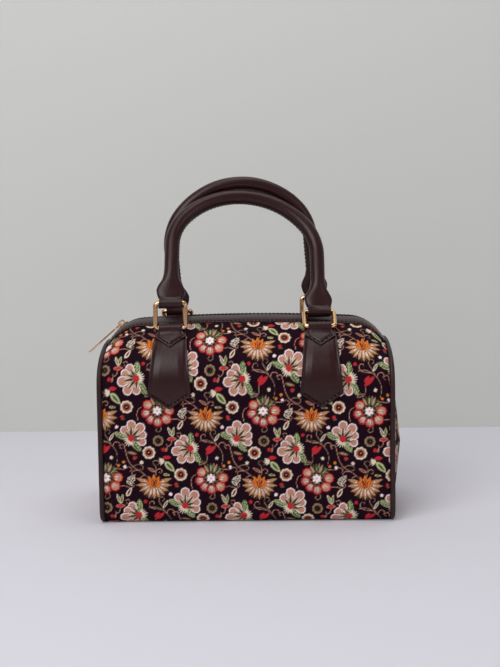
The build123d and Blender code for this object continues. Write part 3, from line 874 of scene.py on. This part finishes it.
def piping(name, node, side):
    line = section_line(PIPING_PLACE, 0.3, PIPING_RADIUS)
    back = line[::-1] * np.array([-1.0, 1.0])
    under = np.stack([np.linspace(back[-1, 0], line[0, 0], 60)[1:], np.full(59, line[0, 1])], 1)
    loop = np.concatenate([line, back[1:], under])
    run = np.concatenate([[0], np.cumsum(np.hypot(*np.diff(loop, axis=0).T))])
    count = 560
    d = np.linspace(0, run[-1], count)
    y, z = np.interp(d, run, loop[:, 0]), np.interp(d, run, loop[:, 1])
    ahead = np.interp((d + 0.8) % run[-1], run, loop[:, 0]), np.interp((d + 0.8) % run[-1], run, loop[:, 1])
    before = np.interp((d - 0.8) % run[-1], run, loop[:, 0]), np.interp((d - 0.8) % run[-1], run, loop[:, 1])
    ty, tz = ahead[0] - before[0], ahead[1] - before[1]
    norm = np.hypot(ty, tz)
    piece = grid_piece(name, 17, count)
    s, t = grid_places(piece)
    k = np.round(t * (count - 1)).astype(int)
    angle = s * 2 * math.pi
    turns = 2 * math.pi / run[-1]
    crease = 0.018 * np.sin(turns * 150 * d[k]) * (0.6 + 0.4 * np.sin(turns * 7 * d[k]))
    radius = PIPING_RADIUS * (1 + crease + 0.015 * np.sin(turns * 23 * d[k] + 1))
    points = np.stack([
        side * (PIPING_PLACE + radius * np.sin(angle)),
        side * (y[k] - tz[k] / norm[k] * radius * np.cos(angle)),
        z[k] + ty[k] / norm[k] * radius * np.cos(angle),
    ], 1)
    set_places(piece, points)
    close_tube(False)
    piece.data.materials.append(piping_leather)
    bpy.ops.object.shade_smooth()
    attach(piece, "root")
    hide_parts(node)


piping("left_piping_leather", "left_piping", -1)
piping("right_piping_leather", "right_piping", 1)

# %% [markdown]
# A strap ring hangs in a strip folded over its bar, sewn flat on the end panel.

# %% Strap tabs
STRAP_RING_PLACE = 136.1
STRAP_RING_HEIGHT = 115.0


def strap_tab(name, node, side):
    rows = [(PIPING_PLACE + 0.9, z) for z in np.linspace(150.0, 116.5, 24)]
    rows += [(STRAP_RING_PLACE + 2.85 * math.cos(a), STRAP_RING_HEIGHT + 2.85 * math.sin(a))
             for a in np.linspace(math.radians(180), math.radians(386), 36)]
    rows += [(PIPING_PLACE + 2.5 + 3.6 * (1 - w) ** 3, STRAP_RING_HEIGHT + 3.0 + 32.0 * w)
             for w in np.linspace(0.06, 1, 26)]
    rows = np.array(rows)
    piece = grid_piece(name, 16, len(rows))
    s, t = grid_places(piece)
    k = np.round(t * (len(rows) - 1)).astype(int)
    across = s * 2 - 1
    rim = (1 - np.abs(across)) * 8.5
    groove = 0.25 * np.exp(-((rim - 2.0) / 0.6) ** 2) * (k > 62)
    points = np.stack([side * (rows[k, 0] - groove), side * across * 8.5, rows[k, 1]], 1)
    set_places(piece, points)
    finish_leather(piece, leather, 1.5, 0.4)
    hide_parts(node)
    front = [(z, PIPING_PLACE + 3.35) for z in np.linspace(126.0, 148.0, 30)]
    rows_out = [[(side * x, edge * 6.5, z) for z, x in front] for edge in (-1, 1)]
    rows_out.append([(side * (PIPING_PLACE + 3.35), y, 148.0) for y in np.linspace(-6.5, 6.5, 12)])
    stitch_rows(name + "_stitches", rows_out)


strap_tab("left_strap_leather", "left_strap_tab", -1)
strap_tab("right_strap_leather", "right_strap_tab", 1)

# %% [markdown]
# Each handle ring hangs in one folded strip of leather. From its point on the cloth the strip runs
# up the wall to the ring's lower bar, turns over it, and comes down in front as a short flap with a
# V-shaped end. One grid follows that whole path, so the fold is one continuous surface.

# %% Handle tabs
RING_SPACING = 137.4
RING_DEPTH = 43.0
RING_HEIGHT = 176.379
LOOP_MIDLINE = 3.4
TAB_LEATHER = 2.0
TAB_COLUMNS = 44


def tab_path():
    """Rows of one tab: depth and height at the middle, half width, and how far the row lies on the wall."""
    middle = RING_SPACING / 2
    rows = []
    for z in np.concatenate([np.linspace(104.5, 117.5, 22), np.linspace(118.3, 168.5, 46)]):
        y = wall_depth(np.array([middle]), np.array([z]), TAB_LEATHER / 2 + 0.15)[0]
        rows.append((y, z))
    back = math.radians(-52)
    for angle in np.linspace(back, math.radians(208), 46):
        rows.append((-RING_DEPTH + LOOP_MIDLINE * math.cos(angle),
                     RING_HEIGHT + LOOP_MIDLINE * math.sin(angle)))
    for z in np.linspace(170.4, 160.0, 22):
        y = wall_depth(np.array([middle]), np.array([z]), 1.5 * TAB_LEATHER + 0.25)[0]
        rows.append((y, z))
    rows = np.array(rows)
    up = 22 + 46
    fold = up + 46
    index = np.arange(len(rows))
    wide = np.empty(len(rows))
    wide[:up] = np.interp(rows[:up, 1], (104.5, 117.5, 166.5, 178.0), (0.0, 19.6, 14.9, 10.6))
    wide[up:fold] = np.interp(index[up:fold], (up, up + 12), (14.0, 10.6))
    wide[fold:] = np.interp(-rows[fold:, 1], (-176.0, -168.5, -160.0), (10.6, 13.8, 0.0))
    return rows, np.maximum(wide, 0.05), up, fold


def handle_tab(name, node, side, turned):
    rows, wide, up, fold = tab_path()
    piece = grid_piece(name, TAB_COLUMNS, len(rows))
    s, t = grid_places(piece)
    k = np.round(t * (len(rows) - 1)).astype(int)
    across = (s * 2 - 1)
    local = across * wide[k]
    x = side * RING_SPACING / 2 + local
    lean = (crest_at(x) - crest_at(np.array(RING_SPACING / 2))) * np.clip((rows[k, 1] - 128) / 56, 0, 1)
    y = rows[k, 0].copy()
    z = rows[k, 1] + lean * ((k < up) | (k >= fold))
    ahead = np.minimum(k + 1, len(rows) - 1)
    back = np.maximum(k - 1, 0)
    ty, tz = rows[ahead, 0] - rows[back, 0], rows[ahead, 1] - rows[back, 1]
    norm = np.hypot(ty, tz)
    # Outwards from the wall, and outwards from the bar in the fold.
    ny, nz = -tz / norm, ty / norm
    rim = (1 - np.abs(across)) * wide[k]
    low = np.where(k < up, (rows[k, 1] - 104.5) * 0.83 - np.abs(local) * 0.55, 99)
    low = np.where(k >= fold, (rows[k, 1] - 160.0) * 0.85 - np.abs(local) * 0.52, low)
    rim = np.minimum(rim, np.maximum(low, 0))
    groove = -0.6 * np.exp(-((rim - 2.4) / 0.7) ** 2)
    puff = 0.8 * np.clip((rim - 2.8) / 6.0, 0, 1)
    flat = np.where((k >= up) & (k < fold), 0.0, 1.0)
    lift = (groove + puff * np.where(k < up, 1, 0.5)) * flat * np.where(k < fold, 1, -1)
    points = np.stack([x, y + ny * lift, z + nz * lift], 1)
    set_places(piece, half_turned(points) if turned else points)
    finish_leather(piece, leather, TAB_LEATHER, 0.5)
    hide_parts(node)
    rows_out = []
    for edge in (-1, 1):
        corner = [(edge * (10.6 - 2.2), 174.5), (edge * (14.9 - 2.4), 166.2),
                  (edge * (19.6 - 2.6), 118.6), (0.0, 107.5)]
        rows_out.append(stitch_line(side, corner, TAB_LEATHER + 0.15, 156.0))
        flap = [(edge * (13.8 - 2.2), 169.0), (0.0, 162.6)]
        rows_out.append(stitch_line(side, flap, 2 * TAB_LEATHER + 0.35, 400.0))
    if turned:
        rows_out = [half_turned(row) for row in rows_out]
    stitch_rows(name + "_stitches", rows_out)


def stitch_line(side, corners, offset, highest):
    """Points of a sewn line on the wall through corners (across, height), up to a height."""
    corners = np.array(corners)
    corners = corners[corners[:, 1] <= highest]
    run = np.concatenate([[0], np.cumsum(np.hypot(*np.diff(corners, axis=0).T))])
    d = np.linspace(0, run[-1], 80)
    x = side * RING_SPACING / 2 + np.interp(d, run, corners[:, 0])
    z = np.interp(d, run, corners[:, 1])
    return np.stack([x, wall_depth(x, z, offset), z], 1)


for side_name, turned in (("front", False), ("rear", True)):
    for end_name, side in (("left", -1), ("right", 1)):
        node_end = end_name if not turned else {"left": "right", "right": "left"}[end_name]
        handle_tab(f"{side_name}_{node_end}_tab_leather", f"{side_name}_{node_end}_handle_tab", side, turned)

# %% [markdown]
# A rolled handle is a leather sleeve sewn round a soft core. The sleeve is one long grid that is
# wrapped round a path: round in section over the grip, wide and flat at both ends, where the two
# layers run on as a band round the ring's bar. Two rows of stitches lie along the arch's inner side.

# %% Rolled handles
UP_BAR = (-68.7, -43.0, 199.3795)
LAID_BAR = (68.7, -23.4949, 188.5677)
HANDLE_RISE = 119.0
HANDLE_LEG = 61.0
HANDLE_SHOULDER = 48.0
FRONT_LEAN = 28.0
SLEEVE_ROUND = 49
# Distance from the bar, half width and half thickness of the sleeve, and how square it is.
FLARE = np.array([
    (3.6, 9.4, 2.2, 2.3), (3.9, 10.6, 3.2, 2.4), (4.6, 11.3, 3.8, 2.4), (6.0, 11.9, 4.0, 2.4),
    (8.4, 12.7, 4.0, 2.4), (12.5, 13.4, 4.2, 2.3), (16.2, 12.4, 4.6, 2.2), (19.5, 10.6, 5.2, 2.2),
    (23.0, 8.6, 6.0, 2.05), (29.0, 7.2, 6.8, 2.0), (36.0, 6.9, 6.9, 2.0), (400.0, 6.9, 6.9, 2.0),
])


def handle_frame(lean):
    """Middle, direction along the bag, upward direction and half span of a handle."""
    left = np.array(UP_BAR)
    right = np.array(LAID_BAR)
    along = (right - left) / np.linalg.norm(right - left)
    up = np.array([0, 0, 1.0]) - along * along[2]
    up /= np.linalg.norm(up)
    turn = math.radians(-lean)
    up = up * math.cos(turn) + np.cross(along, up) * math.sin(turn)
    return (left + right) / 2, along, up, np.linalg.norm(right - left) / 2


def handle_line(half):
    """The handle's centre line in its own plane: places, outward directions, distance from the nearer bar."""
    rise = HANDLE_RISE - HANDLE_LEG
    centre = half - HANDLE_SHOULDER
    radius = (centre**2 + rise**2 - HANDLE_SHOULDER**2) / (2 * (rise - HANDLE_SHOULDER))
    top = rise - radius
    tangent = math.atan2(-top, centre)
    points = [(half, h, 0.0) for h in FLARE[:6, 0]] + [(half, h, 0.0) for h in np.linspace(13.5, 60, 26)]
    points += [(centre + HANDLE_SHOULDER * math.cos(a), HANDLE_LEG + HANDLE_SHOULDER * math.sin(a), a)
               for a in np.linspace(0, tangent, 26)]
    points += [(radius * math.cos(a), HANDLE_LEG + top + radius * math.sin(a), a)
               for a in np.linspace(tangent, math.pi / 2, 24)[1:]]
    points = np.array(points)
    other = points[-2::-1] * np.array([-1, 1, -1]) + np.array([0, 0, math.pi])
    points = np.concatenate([points, other])
    run = np.concatenate([[0], np.cumsum(np.hypot(*np.diff(points[:, :2], axis=0).T))])
    reach = np.minimum(run, run[-1] - run) + FLARE[0, 0]
    return points, reach


def make_handle(name, node, lean, turned, body):
    middle, along, up, half = handle_frame(lean)
    out = np.cross(along, up)
    points, reach = handle_line(half)
    piece = grid_piece(name, SLEEVE_ROUND, len(points))
    s, t = grid_places(piece)
    k = np.round(t * (len(points) - 1)).astype(int)
    angle = s * 2 * math.pi
    wide = np.interp(reach[k], FLARE[:, 0], FLARE[:, 1])
    thick = np.interp(reach[k], FLARE[:, 0], FLARE[:, 2])
    power = 2 / np.interp(reach[k], FLARE[:, 0], FLARE[:, 3])
    c, d = np.cos(angle), np.sin(angle)
    groove = 1 - 0.06 * np.exp(-(np.abs(angle - math.pi) / 0.11) ** 2)
    wave = 1 + 0.012 * np.sin(reach[k] / 7.0 + 2 * np.sin(angle)) * np.clip((reach[k] - 14) / 20, 0, 1)
    across = np.sign(c) * np.abs(c) ** power * wide * groove * wave
    through = np.sign(d) * np.abs(d) ** power * thick * groove * wave
    # Angle 0 of the grid is the inner side of the arch, so the shallow groove is on the outer side.
    direction = -(np.cos(points[k, 2])[:, None] * along + np.sin(points[k, 2])[:, None] * up)
    places = middle + points[k, 0:1] * along + points[k, 1:2] * up
    places = places + direction * across[:, None] + through[:, None] * out
    set_places(piece, half_turned(places) if turned else places)
    close_tube(True)
    piece.data.materials.append(leather)
    bpy.ops.object.shade_smooth()
    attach(piece, body)
    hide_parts(node)
    rows = []
    keep = reach > 30
    for side in (-1, 1):
        shift = side * 0.28
        inner = -(np.cos(points[keep, 2])[:, None] * along + np.sin(points[keep, 2])[:, None] * up)
        row = middle + points[keep, 0:1] * along + points[keep, 1:2] * up
        row = row + inner * 6.9 * math.cos(shift) + out * 6.9 * math.sin(shift)
        rows.append(half_turned(row) if turned else row)
    stitch_rows(name + "_stitches", rows, body)
    for end, bar in (("left", UP_BAR), ("right", LAID_BAR)):
        handle_band(f"{name}_{end}_band", np.array(bar), along, up, out, turned, body)


BAND_WIDTH = 22.4
BAND_MIDLINE = 4.15
BAND_LEATHER = 1.6


def handle_band(name, bar, along, up, out, turned, body):
    """The band of leather that goes down from a handle's flat end, round the ring's bar and back up."""
    profile = [(1.2, 8.0), (2.0, 6.0), (3.3, 3.6)]
    profile += [(BAND_MIDLINE * math.cos(a), BAND_MIDLINE * math.sin(a))
                for a in np.linspace(math.radians(28), math.radians(-208), 40)]
    profile += [(-3.3, 3.6), (-2.0, 6.0), (-1.2, 8.0)]
    profile = np.array(profile)
    piece = grid_piece(name, 22, len(profile))
    s, t = grid_places(piece)
    k = np.round(t * (len(profile) - 1)).astype(int)
    width = BAND_WIDTH / 2 - 0.4 - 1.4 * np.clip(profile[k, 1] / 6, 0, 1)
    across = (s * 2 - 1) * width
    joined = np.clip(profile[k, 1:2] / 3.6, 0, 1)
    bar_way = np.array([1.0, 0, 0]) * (1 - joined) + along * joined
    places = bar + across[:, None] * bar_way + profile[k, 0:1] * out + profile[k, 1:2] * up
    set_places(piece, half_turned(places) if turned else places)
    finish_leather(piece, leather, BAND_LEATHER, 0.45, body)


make_handle("front_handle_leather", "front_handle", FRONT_LEAN, False, "front_handle")
make_handle("rear_handle_leather", "rear_handle", 0.0, True, "rear_handle")

# %% [markdown]
# A pale table and wall, a large soft light from the upper left, as from a window, and a weak fill.

# %% Floor, lights and camera
def make_stage():
    bpy.ops.object.select_all(action="DESELECT")
    bpy.ops.mesh.primitive_plane_add(size=6.0, location=(0, 0, -0.0002))
    floor = bpy.context.object
    floor.name = "floor"
    material, shader = new_material("pale table cloth")
    shader.inputs["Base Color"].default_value = linear("dcdae2")
    shader.inputs["Roughness"].default_value = 0.9
    floor.data.materials.append(material)
    bpy.ops.mesh.primitive_plane_add(size=6.0, location=(0, 0.42, 0), rotation=(math.pi / 2, 0, 0))
    wall = bpy.context.object
    wall.name = "backdrop"
    material, shader = new_material("pale grey wall")
    shader.inputs["Base Color"].default_value = linear("d2d2ce")
    shader.inputs["Roughness"].default_value = 0.9
    # Seen from behind, the wall is clear, so that views of the bag's rear are not blocked.
    behind = add_node(material, "ShaderNodeNewGeometry").outputs["Backfacing"]
    clear = add_node(material, "ShaderNodeBsdfTransparent")
    mix = add_node(material, "ShaderNodeMixShader", Fac=behind)
    plug(material, shader.outputs[0], mix.inputs[1])
    plug(material, clear.outputs[0], mix.inputs[2])
    plug(material, mix.outputs[0], material.node_tree.nodes["Material Output"].inputs[0])
    wall.data.materials.append(material)


make_stage()
scene = bpy.context.scene
scene.view_settings.view_transform = "Standard"


def soft_light(name, place, target, size, power, colour=(1, 1, 1)):
    data = bpy.data.lights.new(name, "AREA")
    data.shape = "RECTANGLE"
    data.size = size[0]
    data.size_y = size[1]
    data.energy = power
    data.color = colour
    lamp = bpy.data.objects.new(name, data)
    scene.collection.objects.link(lamp)
    lamp.location = place
    lamp.rotation_euler = (Vector(target) - Vector(place)).to_track_quat("-Z", "Y").to_euler()
    return lamp


soft_light("window", (-0.9, -1.5, 1.5), (0, 0, 0.15), (1.4, 1.4), 27.0)
soft_light("fill", (1.6, -1.3, 0.9), (0, 0, 0.15), (1.2, 1.2), 5.0)
soft_light("overhead", (0.1, -0.1, 1.8), (0, 0, 0.1), (1.4, 1.0), 9.0)
world = bpy.data.worlds.new("studio")
scene.world = world
world.use_nodes = True
world.node_tree.nodes["Background"].inputs[0].default_value = (0.8, 0.82, 0.85, 1)
world.node_tree.nodes["Background"].inputs[1].default_value = 0.24

lens = bpy.data.cameras.new("camera")
lens.sensor_fit = "HORIZONTAL"
lens.sensor_width = 36.0
lens.lens = 72.0
camera = bpy.data.objects.new("camera", lens)
scene.collection.objects.link(camera)
camera.location = (0.0231, -0.9609, 0.2425)
aim = Vector((math.sin(math.radians(-1.17)), math.cos(math.radians(-1.17)), -math.tan(math.radians(4.49))))
roll = Matrix.Rotation(math.radians(-0.81), 3, "Z")
camera.rotation_euler = (aim.to_track_quat("-Z", "Y").to_matrix() @ roll).to_euler()
scene.camera = camera
